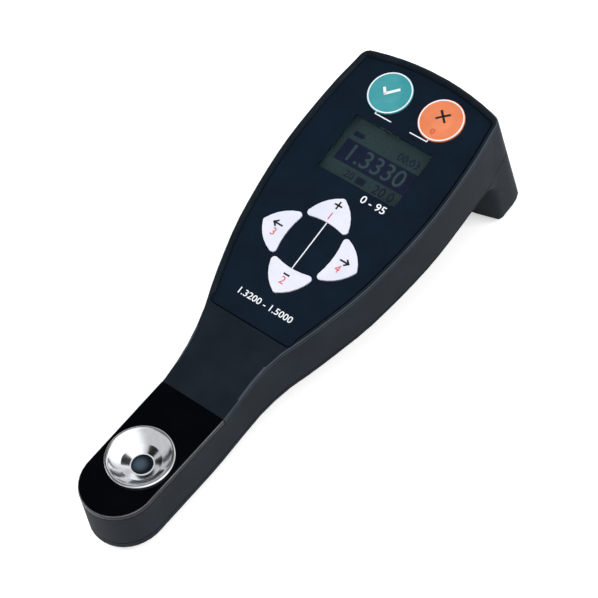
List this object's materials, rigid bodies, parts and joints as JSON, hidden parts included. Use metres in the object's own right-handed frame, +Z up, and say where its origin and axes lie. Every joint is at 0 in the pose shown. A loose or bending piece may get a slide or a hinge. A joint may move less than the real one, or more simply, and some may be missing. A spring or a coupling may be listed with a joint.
{
  "type": "portable refractometer",
  "caption": "Hand-held digital refractometer: low nose with a stainless sample dish over a prism, tilted head with display and keys, battery leg at the rear.",
  "frame": {"origin": "on the table, below the middle of the body's length and width", "axes": "+Y from the sample nose to the battery leg, +X to the right of a user who reads the display, +Z up"},
  "size_m": [0.0616, 0.1875, 0.0499],
  "materials": {
    "housing_abs": "fine moulded grain",
    "nose_gloss": "polished",
    "panel_film": "satin film",
    "dish_stainless": "polished stainless steel",
    "prism_glass": "polished",
    "lens_glass": "polished",
    "window_clear": "clear",
    "lcd": "reflective display",
    "key_teal": "embossed film",
    "key_orange": "embossed film",
    "key_lilac": "embossed film",
    "rubber": "moulded",
    "block_aluminium": "machined",
    "board_laminate": "solder mask",
    "component_black": "moulded",
    "lamp_resin": "cast resin",
    "holder_white": "moulded",
    "nickel": "nickel plated",
    "steel": "zinc plated",
    "cell_label": "printed sleeve",
    "flex_film": "polyimide"
  },
  "bodies": {
    "housing": {"upper_housing": "housing_abs", "lower_housing": "housing_abs", "nose_plate": "nose_gloss", "membrane_panel": "panel_film", "sample_dish": "dish_stainless", "prism": "prism_glass", "lens": "lens_glass", "display_window": "window_clear", "lcd_module": "lcd", "dish_gasket": "rubber", "prism_seal": "rubber", "foot_nose": "rubber", "foot_left": "rubber", "foot_right": "rubber", "optical_block": "block_aluminium", "main_board": "board_laminate", "sensor_board": "board_laminate", "line_sensor": "component_black", "switch_ok": "component_black", "switch_esc": "component_black", "switch_up": "component_black", "switch_down": "component_black", "switch_left": "component_black", "switch_right": "component_black", "light_source": "lamp_resin", "lcd_holder": "holder_white", "contact_plate_left": "nickel", "contact_plate_right": "nickel", "temperature_sensor": "nickel", "contact_spring_upper": "steel", "contact_spring_lower": "steel", "housing_screw_1": "steel", "housing_screw_2": "steel", "housing_screw_3": "steel", "housing_screw_4": "steel", "board_screw_1": "steel", "board_screw_2": "steel", "board_screw_3": "steel", "board_screw_4": "steel", "battery_upper": "cell_label", "battery_lower": "cell_label", "ribbon_cable": "flex_film"},
    "key_ok_body": {"key_ok": "key_teal"},
    "key_esc_body": {"key_esc": "key_orange"},
    "key_up_body": {"key_up": "key_lilac"},
    "key_down_body": {"key_down": "key_lilac"},
    "key_left_body": {"key_left": "key_lilac"},
    "key_right_body": {"key_right": "key_lilac"},
    "battery_cover_body": {"battery_cover": "housing_abs"}
  },
  "joints": [
    {"name": "press_ok", "type": "slide", "parent": "housing", "child": "key_ok_body", "axis": [0, 0.1822, -0.9833], "range_m": [0, 0.0004], "stiffness_N_per_m": 2500},
    {"name": "press_esc", "type": "slide", "parent": "housing", "child": "key_esc_body", "axis": [0, 0.1822, -0.9833], "range_m": [0, 0.0004], "stiffness_N_per_m": 2500},
    {"name": "press_up", "type": "slide", "parent": "housing", "child": "key_up_body", "axis": [0, 0.1822, -0.9833], "range_m": [0, 0.0004], "stiffness_N_per_m": 2500},
    {"name": "press_down", "type": "slide", "parent": "housing", "child": "key_down_body", "axis": [0, 0.1822, -0.9833], "range_m": [0, 0.0004], "stiffness_N_per_m": 2500},
    {"name": "press_left", "type": "slide", "parent": "housing", "child": "key_left_body", "axis": [0, 0.1822, -0.9833], "range_m": [0, 0.0004], "stiffness_N_per_m": 2500},
    {"name": "press_right", "type": "slide", "parent": "housing", "child": "key_right_body", "axis": [0, 0.1822, -0.9833], "range_m": [0, 0.0004], "stiffness_N_per_m": 2500},
    {"name": "cover_pull", "type": "slide", "parent": "housing", "child": "battery_cover_body", "axis": [0, 1, 0], "range_m": [0, 0.03]}
  ]
}
